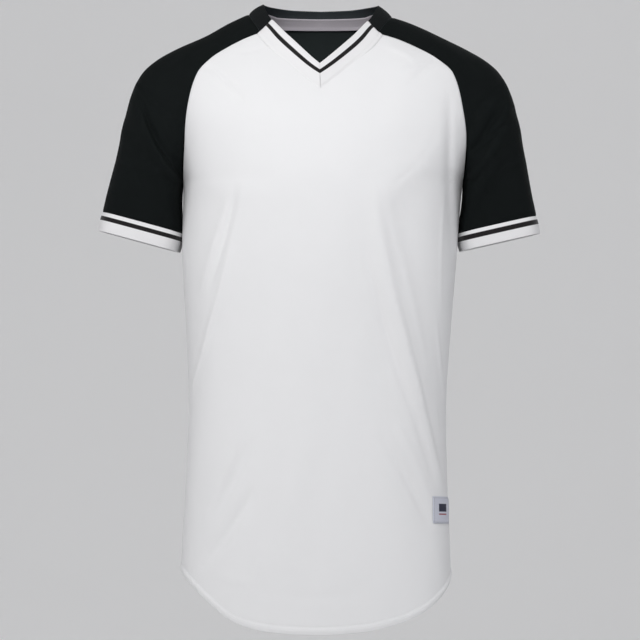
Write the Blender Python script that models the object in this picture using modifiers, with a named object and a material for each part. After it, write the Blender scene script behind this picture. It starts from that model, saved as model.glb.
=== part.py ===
"""A V-neck sports jersey with short raglan sleeves, filled out as if worn, with nobody in it.

Metres, +Z up. The front faces -Y and the wearer's left is at +X. The origin is midway between
the two highest points of the neck seam, where the shoulders hold the jersey up.
"""

import bmesh
import bpy
import numpy as np

# Driving dimensions
CLOTH = 0.0012  # wall of the jersey knit
RIB = 0.0018  # wall of the doubled rib in the cuffs and the neck
PATCH = 0.0009  # wall of the tape and the label
GAP = 0.0003  # left between pieces at a seam

UNDERARM = -0.2152  # height of the underarm, where side seam, raglans and sleeve meet
HEM_CENTRE = -0.7824  # lowest point of the shirt-tail hem
HEM_RISE = 0.0757  # how much higher the hem is at the right side seam
BACK_TAIL = 0.004  # how much lower the back hem hangs
V_POINT = -0.0951  # height of the seam at the point of the V
V_BOW = 0.0014  # how far each side of the V bows out of a straight line
ARMPIT_ROOM = 0.0022  # how far the underarm of a sleeve swings clear of the body
CUFF_WIDTH = 0.0245
CUFF_LEAN = 0.15  # how far a cuff leans back for its length
TAPE_DOWN = 0.0060  # what the neck tape covers below its seam
LABEL_TOP, LABEL_TALL = -0.6101, 0.0340

# How finely the pieces are divided
FRONT_COLUMNS, BACK_COLUMNS = 32, 24
BODY_ROWS, RAGLAN_ROWS = 21, 12
SLEEVE_COLUMNS, TUBE_ROWS = 28, 5


def table(columns, *rows):
    """Named columns of numbers, one row for each section or fold."""
    return dict(zip(columns.split(), np.array(rows, float).T))


# The body's sections, hem to neck: half the width, how far the middle has swung to the side,
# and how far back the side lies. Above the underarm the sleeves cover the sides of it.
BODY = table(
    "height   half    shift    side_y",
    (-0.8000, 0.1742, -0.0070, 0.000),
    (-0.7000, 0.1722, -0.0064, 0.000),
    (-0.6000, 0.1675, -0.0058, 0.000),
    (-0.5000, 0.1645, -0.0045, 0.000),
    (-0.4000, 0.1695, -0.0032, 0.004),
    (-0.3000, 0.1762, -0.0018, 0.009),
    (-0.2152, 0.1792, 0.0025, 0.014),
    (-0.1948, 0.1860, 0.0038, 0.015),
    (-0.1560, 0.1970, 0.0057, 0.016),
    (-0.1168, 0.2040, 0.0050, 0.016),
    (-0.0763, 0.2000, 0.0052, 0.015),
    (-0.0555, 0.1830, 0.0031, 0.014),
    (-0.0339, 0.1500, 0.0000, 0.012),
    (-0.0266, 0.1330, -0.0012, 0.010),
    (-0.0040, 0.0980, -0.0000, 0.010),
)

# Half the width between the raglan seams, from the underarm up to the neck
FRONT_RAGLAN = table(
    "height   half",
    (-0.2152, 0.1792),
    (-0.1948, 0.1792),
    (-0.1560, 0.1784),
    (-0.1168, 0.1733),
    (-0.0763, 0.1615),
    (-0.0555, 0.1404),
    (-0.0449, 0.1225),
    (-0.0339, 0.1000),
    (-0.0266, 0.0793),
)
BACK_RAGLAN = table(
    "height   half",
    (-0.2152, 0.1792),
    (-0.1940, 0.1795),
    (-0.1520, 0.1765),
    (-0.1050, 0.1640),
    (-0.0650, 0.1390),
    (-0.0300, 0.1030),
    (-0.0040, 0.0650),
)

# The middle of the front and of the back, and how boxy the section is between it and the side
FRONT = table(
    "height   middle_x middle_y full",
    (-0.8000, -0.0070, -0.0930, 0.63),
    (-0.7000, -0.0064, -0.0960, 0.63),
    (-0.6000, -0.0058, -0.1000, 0.62),
    (-0.5000, -0.0045, -0.1050, 0.61),
    (-0.4000, -0.0030, -0.1130, 0.60),
    (-0.3000, -0.0012, -0.1220, 0.60),
    (-0.2152, 0.0000, -0.1260, 0.61),
    (-0.1560, 0.0000, -0.1190, 0.63),
    (-0.1168, 0.0000, -0.1070, 0.66),
    (-0.0763, 0.0000, -0.0870, 0.69),
    (-0.0500, 0.0000, -0.0710, 0.69),
    (-0.0266, 0.0000, -0.0560, 0.66),
)
BACK = table(
    "height   middle_x middle_y full",
    (-0.8100, -0.0070, 0.1000, 0.62),
    (-0.7000, -0.0064, 0.1010, 0.62),
    (-0.6000, -0.0058, 0.1000, 0.61),
    (-0.5000, -0.0045, 0.0980, 0.60),
    (-0.4000, -0.0030, 0.1010, 0.60),
    (-0.3000, -0.0012, 0.1110, 0.60),
    (-0.2152, 0.0000, 0.1190, 0.60),
    (-0.1520, 0.0000, 0.1195, 0.62),
    (-0.1050, 0.0000, 0.1140, 0.65),
    (-0.0650, 0.0000, 0.1050, 0.67),
    (-0.0300, 0.0000, 0.0940, 0.67),
    (-0.0040, 0.0000, 0.0815, 0.62),
)

# How the hem rises from its middle (0) to the right (-1) and the left (1) side seam
HEM = table(
    "across   rise",
    (-1.00, 1.00),
    (-0.87, 0.94),
    (-0.72, 0.80),
    (-0.55, 0.54),
    (-0.35, 0.19),
    (-0.18, 0.06),
    (0.00, 0.00),
    (0.18, 0.06),
    (0.37, 0.18),
    (0.55, 0.37),
    (0.72, 0.59),
    (0.87, 0.79),
    (1.00, 0.92),
)

# The line over the shoulder and down the arm, as seen from in front, down to the underarm
SHOULDER = table(
    "x       y      height",
    (0.0915, 0.008, 0.0000),
    (0.1156, 0.010, -0.0079),
    (0.1477, 0.012, -0.0233),
    (0.1810, 0.014, -0.0387),
    (0.2094, 0.016, -0.0540),
    (0.2279, 0.017, -0.0694),
    (0.2380, 0.018, -0.0848),
    (0.2444, 0.018, -0.1002),
    (0.2503, 0.020, -0.1233),
    (0.2555, 0.0215, -0.1464),
    (0.2640, 0.0245, -0.1850),
)

# Where each sleeve ends at its cuff, on the outer and on the inner side of the arm
SLEEVES = {
    "right": dict(sign=-1, outer=(0.2815, 0.030, -0.2468), inner=(0.1770, 0.033, -0.2755)),
    "left": dict(sign=1, outer=(0.2775, 0.030, -0.2530), inner=(0.1755, 0.033, -0.2765)),
}
SLEEVE_DEPTH = table(  # how far forward and back the sleeve reaches, down to the cuff (2)
    "share   front    back",
    (0.60, -0.0562, 0.0775),
    (0.80, -0.0550, 0.0845),
    (1.00, -0.0500, 0.0875),
    (1.50, -0.0390, 0.0890),
    (2.00, -0.0280, 0.0900),
)
BAND_TOP = table(  # upper edge of the neckband from the end of the V trim to the centre back
    "share    x       y       height",
    (0.00, 0.0630, -0.0410, -0.0092),
    (0.16, 0.0702, -0.0180, 0.0055),
    (0.34, 0.0735, 0.0080, 0.0157),
    (0.55, 0.0620, 0.0380, 0.0160),
    (0.76, 0.0360, 0.0600, 0.0148),
    (1.00, 0.0000, 0.0680, 0.0142),
)
TRIM_POINT = (0.0, -0.0915, -0.0656)  # the inner point of the V
TRIM_END = (0.0630, -0.0410, -0.0092)
MITRE = 0.0009  # from the centre front to each half of the trim, whose walls lean in behind

# The largest folds: how far each stands out (or in, below 0), half its width, and three points
# of its line as seen from in front or behind
FRONT_FOLDS = table(
    "out     wide    x1      z1      x2      z2      x3      z3",
    (0.0050, 0.016, 0.165, -0.135, 0.118, -0.172, 0.070, -0.228),
    (0.0060, 0.014, 0.073, -0.232, 0.102, -0.347, 0.128, -0.475),
    (-0.006, 0.015, 0.098, -0.250, 0.128, -0.360, 0.146, -0.490),
    (0.0045, 0.012, 0.122, -0.455, 0.140, -0.530, 0.157, -0.600),
    (0.0045, 0.016, 0.050, -0.320, 0.080, -0.420, 0.112, -0.570),
    (-0.005, 0.020, 0.030, -0.300, 0.040, -0.410, 0.062, -0.540),
    (0.0055, 0.016, -0.098, -0.225, -0.127, -0.316, -0.158, -0.470),
    (-0.005, 0.018, -0.068, -0.240, -0.100, -0.340, -0.128, -0.480),
    (-0.004, 0.012, -0.095, -0.575, -0.120, -0.635, -0.146, -0.700),
)
BACK_FOLDS = table(
    "out     wide    x1      z1      x2      z2      x3      z3",
    (-0.006, 0.018, -0.135, -0.170, -0.085, -0.260, -0.060, -0.380),
    (-0.006, 0.018, 0.138, -0.180, 0.090, -0.270, 0.070, -0.400),
    (0.0060, 0.020, -0.030, -0.300, -0.045, -0.450, -0.075, -0.640),
    (0.0060, 0.020, 0.045, -0.330, 0.040, -0.480, 0.065, -0.660),
    (-0.005, 0.018, 0.105, -0.420, 0.115, -0.530, 0.125, -0.650),
)
SLEEVE_FOLDS = table(
    "out     wide    x1      z1      x2      z2      x3      z3",
    (-0.005, 0.010, 0.233, -0.095, 0.212, -0.130, 0.190, -0.190),
    (0.0040, 0.009, 0.250, -0.140, 0.228, -0.175, 0.200, -0.225),
)


def curve(knots, values, at):
    """Reads a smooth curve through a column, one that never swings past its rows."""
    step = np.diff(knots)
    rise = np.diff(values) / step
    slope = np.zeros(len(knots))
    slope[0], slope[-1] = rise[0], rise[-1]
    before, after = rise[:-1], rise[1:]
    same_way = before * after > 0
    near, far = 2 * step[1:] + step[:-1], step[1:] + 2 * step[:-1]
    blend = near[same_way] / before[same_way] + far[same_way] / after[same_way]
    slope[1:-1][same_way] = (near + far)[same_way] / blend
    at = np.clip(at, knots[0], knots[-1])
    i = np.clip(np.searchsorted(knots, at) - 1, 0, len(knots) - 2)
    f = (at - knots[i]) / step[i]
    start = values[i] * (1 + 2 * f) + slope[i] * step[i] * f
    end = values[i + 1] * (3 - 2 * f) - slope[i + 1] * step[i] * (1 - f)
    return start * (1 - f) ** 2 + end * f**2


def read(rows, column, at):
    return curve(rows["height"], rows[column], at)


def ease(value):
    value = np.clip(value, 0, 1)
    return value * value * (3 - 2 * value)


def unit(vectors):
    return vectors / np.maximum(np.linalg.norm(vectors, axis=-1, keepdims=True), 1e-12)


def bezier(a, b, c, d, f):
    f = f[..., None]
    return a * (1 - f) ** 3 + b * 3 * f * (1 - f) ** 2 + c * 3 * f * f * (1 - f) + d * f**3


def along(points, share):
    """Places at equal shares of a line's length."""
    steps = np.linalg.norm(np.diff(points, axis=0), axis=1)
    travelled = np.concatenate([[0], np.cumsum(steps)]) / steps.sum()
    return np.stack([np.interp(share, travelled, points[:, k]) for k in range(3)], axis=-1)


def normals(grid):
    """The outward direction at each point of a grid whose rows go up and columns to +X."""
    rows, columns = np.gradient(grid, axis=0), np.gradient(grid, axis=1)
    return unit(np.cross(columns, rows))


# Body panels

def section(panel, across, height):
    """Points of the body, where across runs from -1 to 1 between its right and left sides."""
    across, height = np.broadcast_arrays(across, height)
    middle_y, side_y = read(panel, "middle_y", height), read(BODY, "side_y", height)
    middle = np.stack([read(panel, "middle_x", height), middle_y, height], -1)
    half = np.where(across < 0, -1.0, 1.0) * read(BODY, "half", height)
    side = np.stack([read(BODY, "shift", height) + half, side_y, height], -1)
    corner = np.stack([side[..., 0], middle_y, height], -1)
    full = read(panel, "full", height)[..., None]
    near, far = middle + full * (corner - middle), side + full * (corner - side)
    return bezier(middle, near, far, side, np.abs(across))


def seam_share(panel, raglan, sign, height):
    """How far round to its side the panel reaches: all the way, or to its raglan seam."""
    middle = read(BODY, "shift", height)
    half = np.where(height < UNDERARM, 1.0, read(raglan, "half", height))
    low, high = np.zeros_like(height), np.ones_like(height)
    for _ in range(30):
        mid = (low + high) / 2
        inside = np.abs(section(panel, sign * mid, height)[..., 0] - middle) < half
        low, high = np.where(inside, mid, low), np.where(inside, high, mid)
    return high


def panel_point(panel, raglan, across, height):
    """Points of a body panel, where across runs from -1 to 1 between its two seams."""
    across, height = np.broadcast_arrays(across, height)
    knots = np.linspace(-0.8, raglan["height"][-1], 400)
    right, left = (
        np.interp(height, knots, seam_share(panel, raglan, sign, knots)) for sign in (-1, 1)
    )
    return section(panel, across * np.where(across < 0, right, left), height)


def seam_height(panel, raglan, share):
    """Heights along a raglan seam, from the neck (0) to the underarm (1), by equal lengths."""
    heights = np.linspace(raglan["height"][-1], UNDERARM, 300)
    points = section(panel, seam_share(panel, raglan, 1, heights), heights)
    steps = np.linalg.norm(np.diff(points, axis=0), axis=1)
    return np.interp(share, np.concatenate([[0], np.cumsum(steps)]) / steps.sum(), heights)


def seam_line(panel, raglan, sign, share):
    """The raglan seam on one side, from the neck (0) to the underarm (1)."""
    height = seam_height(panel, raglan, share)
    return section(panel, sign * seam_share(panel, raglan, sign, height), height)


def leaving(panel, raglan, sign, share):
    """The way the body's surface runs on where it leaves a panel over its raglan seam."""
    height = seam_height(panel, raglan, share)
    reach = np.minimum(seam_share(panel, raglan, sign, height), 0.995)
    step = section(panel, sign * (reach + 0.005), height) - section(panel, sign * reach, height)
    return unit(step)


def v_half(height):
    """Half the width of the V opening at a height, at the seam of its trim."""
    top = FRONT_RAGLAN["height"][-1]
    rise = np.clip((height - V_POINT) / (top - V_POINT), 0, 1)
    return FRONT_RAGLAN["half"][-1] * rise + 4 * V_BOW * rise * (1 - rise)


def v_height(across):
    """How high each column of the front reaches, up to the seam of the V."""
    low, high = np.full(across.shape, V_POINT), np.full(across.shape, FRONT_RAGLAN["height"][-1])
    for _ in range(40):
        mid = (low + high) / 2
        outside = np.abs(panel_point(FRONT, FRONT_RAGLAN, across, mid)[..., 0]) > v_half(mid)
        low, high = np.where(outside, mid, low), np.where(outside, high, mid)
    return low


def panel_grid(panel, raglan, columns, top_of, tail=0.0):
    """A body panel from its hem up, first to the underarm and then to the neck."""
    across = np.linspace(-1, 1, columns + 1)
    hem = HEM_CENTRE - tail + (HEM_RISE + tail) * curve(HEM["across"], HEM["rise"], across)
    climb = np.linspace(0, 1, BODY_ROWS + 1)[:, None]
    lower = hem + (UNDERARM - hem) * climb
    raglan_heights = seam_height(panel, raglan, np.linspace(1, 0, RAGLAN_ROWS + 1))[1:, None]
    climb = (raglan_heights - UNDERARM) / (raglan["height"][-1] - UNDERARM)
    upper = UNDERARM + (top_of(across) - UNDERARM) * climb
    return panel_point(panel, raglan, across, np.concatenate([lower, upper]))


def fold_field(x, z, folds):
    """How far the cloth stands out at (x, z), from all the folds of a table."""
    field = np.zeros_like(x)
    for out, wide, x1, z1, x2, z2, x3, z3 in zip(*folds.values()):
        f = np.linspace(0, 1, 13)
        line = np.stack([
            (1 - f) ** 2 * x1 + 2 * f * (1 - f) * (2 * x2 - (x1 + x3) / 2) + f**2 * x3,
            (1 - f) ** 2 * z1 + 2 * f * (1 - f) * (2 * z2 - (z1 + z3) / 2) + f**2 * z3,
        ], -1)
        away = np.linalg.norm(np.stack([x, z], -1)[..., None, :] - line, axis=-1)
        share = f[away.argmin(-1)]
        fade = np.sin(np.pi * np.clip(share * 0.86 + 0.07, 0, 1)) ** 0.8
        field += out * fade * np.exp(-((away.min(-1) / wide) ** 2))
    return field


def folded(grid, folds, outward, hem_free=True):
    """Moves a grid's points out along its folds, which fade before the seams."""
    rows, columns = grid.shape[:2]
    up, over = np.linspace(0, 1, rows)[:, None], np.linspace(0, 1, columns)[None, :]
    fade = ease(over * 9) * ease((1 - over) * 9) * ease((1 - up) * 9)
    if not hem_free:
        fade = fade * ease(up * 9)
    field = fold_field(grid[..., 0], grid[..., 2], folds) * fade
    return grid + outward * field[..., None]


def tucked(grid, edges):
    """Draws the named edges of a grid in by half a seam gap."""
    grid = grid.copy()
    pairs = {"low": ((0,), (1,)), "high": ((-1,), (-2,)),
             "start": ((slice(None), 0), (slice(None), 1)), "end": ((slice(None), -1), (slice(None), -2))}
    for edge in edges.split():
        rim, inside = pairs[edge]
        grid[rim] = grid[rim] + GAP / 2 * unit(grid[inside] - grid[rim])
    return grid


def front_grid():
    grid = panel_grid(FRONT, FRONT_RAGLAN, FRONT_COLUMNS, v_height)
    return folded(grid, FRONT_FOLDS, normals(grid))


def back_grid():
    top = BACK_RAGLAN["height"][-1]
    grid = panel_grid(BACK, BACK_RAGLAN, BACK_COLUMNS, lambda across: top + 0 * across, BACK_TAIL)
    return folded(grid, BACK_FOLDS, -normals(grid))


# Sleeves

def shoulder_line(sleeve, share):
    """The line over the shoulder, from the neck (0) past the underarm (1) to the cuff (2)."""
    knots = np.linspace(0, 1, 200)
    rows = np.linspace(0, 1, len(SHOULDER["x"]))
    upper = np.stack([curve(rows, SHOULDER[c], knots) for c in ("x", "y", "height")], -1)
    low = np.clip(share - 1, 0, 1)[..., None]
    end = along(upper, np.clip(share, 0, 1))
    line = end + (np.array(sleeve["outer"]) - upper[-1]) * low
    return line * (sleeve["sign"], 1, 1)


def sleeve_edge(panel, raglan, sleeve, share, turn):
    """A sleeve's seam points, and the way each of its ribs leaves them."""
    sign, on_body = sleeve["sign"], np.clip(share, 0, 1)
    low = np.clip(share - 1, 0, 1)[..., None]
    seam = seam_line(panel, raglan, sign, on_body)
    inner = np.array(sleeve["inner"]) * (sign, 1, 1)
    clear = np.array([sign * ARMPIT_ROOM, 0, 0]) * np.sin(np.pi * low)
    point = seam + (inner - seam) * low + clear
    body_way = leaving(panel, raglan, sign, on_body)
    ahead = seam_line(panel, raglan, sign, np.clip(on_body + 0.01, 0, 1))
    behind = seam_line(panel, raglan, sign, np.clip(on_body - 0.01, 0, 1))
    outward = unit(np.cross(ahead - behind, body_way))
    to_top = shoulder_line(sleeve, share) - point
    smooth = unit(to_top - outward * np.sum(to_top * outward, -1, keepdims=True))
    # Near the underarm the sleeve turns away from the body, until it starts straight forward
    crease = ease((share - 0.40) / 0.60)
    angle = np.arctan2(-turn * smooth[..., 1], sign * smooth[..., 0])
    angle = angle * (1 - crease) - np.pi / 2 * crease
    lift = smooth[..., 2] * (1 - crease)
    level = np.sqrt(1 - lift**2)
    way = np.stack([sign * np.cos(angle) * level, -turn * np.sin(angle) * level, lift], -1)
    apart = unit(way + body_way + np.array([0.4 * sign, 0, 0]))
    return point + GAP * 1.2 * apart * (1 - low), way


def sleeve_half(panel, raglan, sleeve, share, turn, around):
    """Half of a sleeve's ribs, from the seam on one side up to the shoulder line."""
    start, way = sleeve_edge(panel, raglan, sleeve, share, turn)
    top = shoulder_line(sleeve, share)

    def ribs(reach, at):
        ends = (start, start + way * reach[:, None], top + (0, turn, 0) * reach[:, None], top)
        return bezier(*[p[:, None, :] for p in ends], at[None, :])

    plain = np.linalg.norm(top - start, axis=-1) * 0.40
    depth = curve(SLEEVE_DEPTH["share"], SLEEVE_DEPTH["front" if turn < 0 else "back"], share)
    low, high = plain * 0.5, plain * 0.5 + 0.14
    for _ in range(20):
        mid = (low + high) / 2
        short = (ribs(mid, np.linspace(0, 1, 21))[..., 1] * turn).max(axis=1) < depth * turn
        low, high = np.where(short, mid, low), np.where(short, high, mid)
    filled = ease((share - 0.55) / 0.3)
    return ribs(plain * (1 - filled) + low * filled, around)


def sleeve_rows(sleeve, share):
    """A sleeve's points: rows run from the neck to the cuff, columns from front seam to back."""
    half = np.linspace(0, 1, SLEEVE_COLUMNS // 2 + 1)
    front = sleeve_half(FRONT, FRONT_RAGLAN, sleeve, share, -1, half)
    back = sleeve_half(BACK, BACK_RAGLAN, sleeve, share, 1, half)
    return np.concatenate([front, back[:, -2::-1]], axis=1)


def sleeve_grid(sleeve):
    share = np.concatenate([
        np.linspace(0, 1, RAGLAN_ROWS + 1), np.linspace(1, 2, TUBE_ROWS + 1)[1:]])
    grid = sleeve_rows(sleeve, share)
    outward = normals(grid) * -sleeve["sign"]
    flipped = dict(SLEEVE_FOLDS, x1=SLEEVE_FOLDS["x1"] * sleeve["sign"],
                   x2=SLEEVE_FOLDS["x2"] * sleeve["sign"], x3=SLEEVE_FOLDS["x3"] * sleeve["sign"])
    return folded(grid, flipped, outward, hem_free=False)


def cuff_grid(sleeve, rows):
    """The ribbed band, which goes on from the sleeve's last ring at a right angle to it."""
    ring = sleeve_rows(sleeve, np.array([2.0]))[0]
    outer, inner = np.array(sleeve["outer"]), np.array(sleeve["inner"])
    down = np.array([outer[0] - inner[0], 0, outer[2] - inner[2]])
    down = unit(np.array([down[2], 0, -down[0]]) + (0, CUFF_LEAN * abs(down[0]), 0))
    down = down * (sleeve["sign"], 1, 1)
    return ring + down * (2 * GAP + CUFF_WIDTH * np.array(rows))[:, None, None]


# Neck

def neck_seam():
    """The neck seam from the end of the left trim round the back to the end of the right one."""
    lines = []
    for side in ("left", "right"):
        edge = sleeve_rows(SLEEVES[side], np.array([0.0]))[0]
        lines.append(edge if side == "left" else edge[::-1])
    back = back_grid()[-1][::-1]
    return np.concatenate([lines[0][::2], back[1:-1:2], lines[1][::2]])


def band_top(seam):
    """The free upper edge of the neckband, a point for each of the seam's."""
    steps = np.linalg.norm(np.diff(seam, axis=0), axis=1)
    travelled = np.concatenate([[0], np.cumsum(steps)]) / steps.sum()
    half_way = 1 - np.abs(2 * travelled - 1)
    side = np.where(travelled < 0.5, 1, -1)
    points = [curve(BAND_TOP["share"], BAND_TOP[c], half_way) for c in ("x", "y", "height")]
    return np.stack([points[0] * side, points[1], points[2]], -1)


def band_grid(rows):
    """The neckband's strip, a little bowed, standing up from the neck seam."""
    seam = neck_seam()
    top = band_top(seam)
    rise = unit(top - seam)
    start = seam + rise * GAP
    f = np.array(rows)[:, None, None]
    ahead = unit(np.gradient(seam, axis=0))
    outward = unit(np.cross(ahead, rise))
    return start + (top - start) * f + outward * 0.0012 * np.sin(np.pi * f)


def trim_grid(side, rows):
    """Half of the V trim, from the mitre at the centre front to the end of the neckband."""
    edge = front_grid()[-1]
    middle = FRONT_COLUMNS // 2
    edge = edge[middle:] if side > 0 else edge[middle::-1]
    steps = np.linalg.norm(np.diff(edge, axis=0), axis=1)
    f = (np.concatenate([[0], np.cumsum(steps)]) / steps.sum())[:, None]
    point, end = np.array(TRIM_POINT), np.array(TRIM_END) * (side, 1, 1)
    bow = np.array([side * 0.6, 0.25, -0.75]) * V_BOW * 4 * f * (1 - f)
    inner = point + (end - point) * np.concatenate([f, f**1.5, f], -1) + bow
    rise = unit(inner - edge)
    start = edge + rise * GAP
    ahead = unit(np.gradient(edge, axis=0))
    outward = unit(np.cross(rise, ahead)) * side
    share = np.array(rows)[:, None, None]
    grid = start + (inner - start) * share + outward * 0.0008 * np.sin(np.pi * share)
    grid[:, 0] += ahead[0] * MITRE / abs(ahead[0, 0])
    grid[:, -1] -= ahead[-1] * GAP * 1.6
    return grid


def tape_grid():
    """The tape over the neck seam inside the back, from shoulder to shoulder."""
    seam = neck_seam()
    low_row, middle_row, _ = band_grid([0, 0.5, 1])
    rise = unit(middle_row - low_row)
    outward = unit(np.cross(unit(np.gradient(seam, axis=0)), rise))
    level = unit(np.stack([seam[:, 0] * 0.5, seam[:, 1] - 0.01, 0 * seam[:, 0]], -1))
    down = unit(np.array([0, 0, -1.0]) + level * 0.35)
    up_edge = middle_row - outward * (RIB + GAP)
    middle = low_row - outward * (RIB + GAP)
    low_edge = seam + down * TAPE_DOWN - level * (CLOTH + 0.0014)
    shoulder = SLEEVE_COLUMNS // 4
    return np.stack([up_edge, middle, low_edge])[:, shoulder:-shoulder]


# Hip label

def label_grid():
    """A small label on the front by the wearer's left side seam, laid on the panel."""
    across = np.linspace(0.66, 0.90, 9)[None, :]
    height = (LABEL_TOP - LABEL_TALL * np.linspace(1, 0, 5))[:, None]
    fine = panel_point(FRONT, FRONT_RAGLAN, across, height)
    outward = normals(fine)
    fine = fine + outward * fold_field(fine[..., 0], fine[..., 2], FRONT_FOLDS)[..., None]
    return fine + outward * (GAP + PATCH + 0.0003)


# Building

def material(name, colour, rough):
    made = bpy.data.materials.new(name)
    made.use_nodes = True
    shader = made.node_tree.nodes["Principled BSDF"]
    shader.inputs["Base Color"].default_value = (*colour, 1)
    shader.inputs["Roughness"].default_value = rough
    shader.inputs["Metallic"].default_value = 0
    return made


def cloth(name, grid, wall, colour, outward=1, joined=0):
    """A sheet over a grid of points, thickened inwards, in the jersey's collection."""
    sheet = bmesh.new()
    rows, columns = grid.shape[:2]
    points = [[sheet.verts.new(p) for p in row] for row in grid]
    for i in range(rows - 1):
        for j in range(columns - 1):
            corners = [points[i][j], points[i][j + 1], points[i + 1][j + 1], points[i + 1][j]]
            sheet.faces.new(corners if outward > 0 else corners[::-1])
    if joined:
        bmesh.ops.remove_doubles(sheet, verts=sheet.verts, dist=joined)
    mesh = bpy.data.meshes.new(name)
    sheet.to_mesh(mesh)
    sheet.free()
    mesh.shade_smooth()
    mesh.materials.append(colour)
    made = bpy.data.objects.new(name, mesh)
    jersey.objects.link(made)
    solid = made.modifiers.new("wall", "SOLIDIFY")
    solid.thickness = wall
    solid.offset = -1
    return made


for old in list(bpy.data.objects):
    bpy.data.objects.remove(old)
jersey = bpy.data.collections.new("sports_jersey")
bpy.context.scene.collection.children.link(jersey)

white = material("white_knit", (0.80, 0.80, 0.82), 0.70)
black = material("black_knit", (0.012, 0.014, 0.014), 0.75)
trim = material("striped_rib", (0.82, 0.82, 0.84), 0.72)
grey = material("neck_tape_grey", (0.26, 0.25, 0.27), 0.75)
patch = material("label_cloth", (0.52, 0.55, 0.63), 0.6)

cloth("front_panel", tucked(front_grid(), "start end high"), CLOTH, white)
cloth("back_panel", tucked(back_grid(), "start end high"), CLOTH, black, outward=-1)
for label, sleeve in SLEEVES.items():
    sign = sleeve["sign"]
    cloth(f"sleeve_{label}", tucked(sleeve_grid(sleeve), "low"), CLOTH, black, -sign, joined=1e-5)
    cloth(f"cuff_{label}", cuff_grid(sleeve, [0, 0.5, 1]), RIB, trim, -sign, joined=1e-5)
    cloth(f"neck_trim_{label}", trim_grid(sign, [0, 0.5, 1]), RIB, trim, sign)
cloth("neckband_back", tucked(band_grid([0, 0.5, 1]), "start end"), RIB, black)
cloth("neck_tape", tape_grid(), PATCH, grey, -1)
cloth("hip_label", label_grid(), PATCH, patch)
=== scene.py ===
# %% [markdown]
# # A V-neck baseball jersey, cut and sewn in Blender
# The object is a sports jersey with a white front and black raglan sleeves and back, filled out
# as if it were worn. Raglan sleeves run right up to the neck, so four seams cross the chest and
# back in long curves. Each cut piece is modelled by itself: two panels, two sleeves, two striped
# cuffs, two halves of striped V trim, a neckband, a tape and a label.
#
# Lengths are metres. The front faces -Y, the wearer's left is at +X, and the origin lies between
# the two shoulder points of the neck seam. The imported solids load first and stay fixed.

import bpy
import numpy as np
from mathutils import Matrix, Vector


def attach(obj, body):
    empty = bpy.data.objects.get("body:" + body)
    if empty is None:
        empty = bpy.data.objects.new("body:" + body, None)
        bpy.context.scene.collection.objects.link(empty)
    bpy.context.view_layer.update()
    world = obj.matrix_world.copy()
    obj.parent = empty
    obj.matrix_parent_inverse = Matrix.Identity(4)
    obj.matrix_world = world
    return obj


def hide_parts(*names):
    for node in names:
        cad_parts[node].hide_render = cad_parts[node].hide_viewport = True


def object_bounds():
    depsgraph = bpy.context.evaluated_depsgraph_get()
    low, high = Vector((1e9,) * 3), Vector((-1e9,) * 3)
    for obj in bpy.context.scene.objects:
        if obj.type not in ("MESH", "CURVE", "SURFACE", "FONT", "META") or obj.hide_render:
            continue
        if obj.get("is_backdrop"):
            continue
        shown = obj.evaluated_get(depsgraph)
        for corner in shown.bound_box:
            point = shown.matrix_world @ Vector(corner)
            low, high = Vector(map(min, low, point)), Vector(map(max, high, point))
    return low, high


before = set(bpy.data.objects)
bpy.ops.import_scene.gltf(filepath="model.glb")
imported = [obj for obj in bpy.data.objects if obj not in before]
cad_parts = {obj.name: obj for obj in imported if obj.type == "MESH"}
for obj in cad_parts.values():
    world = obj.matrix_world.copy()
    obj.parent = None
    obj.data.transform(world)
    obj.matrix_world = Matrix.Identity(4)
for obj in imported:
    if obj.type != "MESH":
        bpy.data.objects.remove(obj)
solids_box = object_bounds()
print("solids:", ", ".join(sorted(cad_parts)))

# %% [markdown]
# ## Reading shapes from short tables
# A tailor grades a pattern from a table of widths at marked heights. Each form below is such a
# table, with a smooth curve through every column. Between two rows the curve never swings wider
# than their numbers.

# %% Tables and curves
def table(text):
    """Columns of numbers, named by the first line of a text."""
    names, *rows = [line.split() for line in text.strip().splitlines()]
    return dict(zip(names, np.array(rows, float).T))


def curve(knots, values, at):
    """A smooth curve through (knots, values) that never passes beyond its rows."""
    step = np.diff(knots)
    rise = np.diff(values) / step
    slope = np.zeros(len(knots))
    slope[0], slope[-1] = rise[0], rise[-1]
    before, after = rise[:-1], rise[1:]
    same_way = before * after > 0
    near, far = 2 * step[1:] + step[:-1], step[1:] + 2 * step[:-1]
    blend = near[same_way] / before[same_way] + far[same_way] / after[same_way]
    slope[1:-1][same_way] = (near + far)[same_way] / blend
    at = np.clip(at, knots[0], knots[-1])
    i = np.clip(np.searchsorted(knots, at) - 1, 0, len(knots) - 2)
    f = (at - knots[i]) / step[i]
    start = values[i] * (1 + 2 * f) + slope[i] * step[i] * f
    end = values[i + 1] * (3 - 2 * f) - slope[i + 1] * step[i] * (1 - f)
    return start * (1 - f) ** 2 + end * f**2


def read(rows, column, at):
    return curve(rows["height"], rows[column], at)


def read_points(rows, knots, at):
    """Points of a smooth curve through the x, y and height columns of a table."""
    return np.stack([curve(knots, rows[name], at) for name in ("x", "y", "height")], -1)


# %% Small helpers for points and directions
def ease(value):
    value = np.clip(value, 0, 1)
    return value * value * (3 - 2 * value)


def unit(vectors):
    return vectors / np.maximum(np.linalg.norm(vectors, axis=-1, keepdims=True), 1e-12)


def bezier(a, b, c, d, f):
    f = f[..., None]
    return a * (1 - f) ** 3 + b * 3 * f * (1 - f) ** 2 + c * 3 * f * f * (1 - f) + d * f**3


def travelled(points):
    """The distance along a line of points from its first, or down each column of a grid."""
    steps = np.linalg.norm(np.diff(points, axis=0), axis=-1)
    return np.concatenate([0 * steps[:1], np.cumsum(steps, 0)])


def points_at(at, knots, points):
    """Points on a line at the places called at, where its own points lie at knots."""
    return np.stack([np.interp(at, knots, points[:, k]) for k in range(3)], -1)


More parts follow.
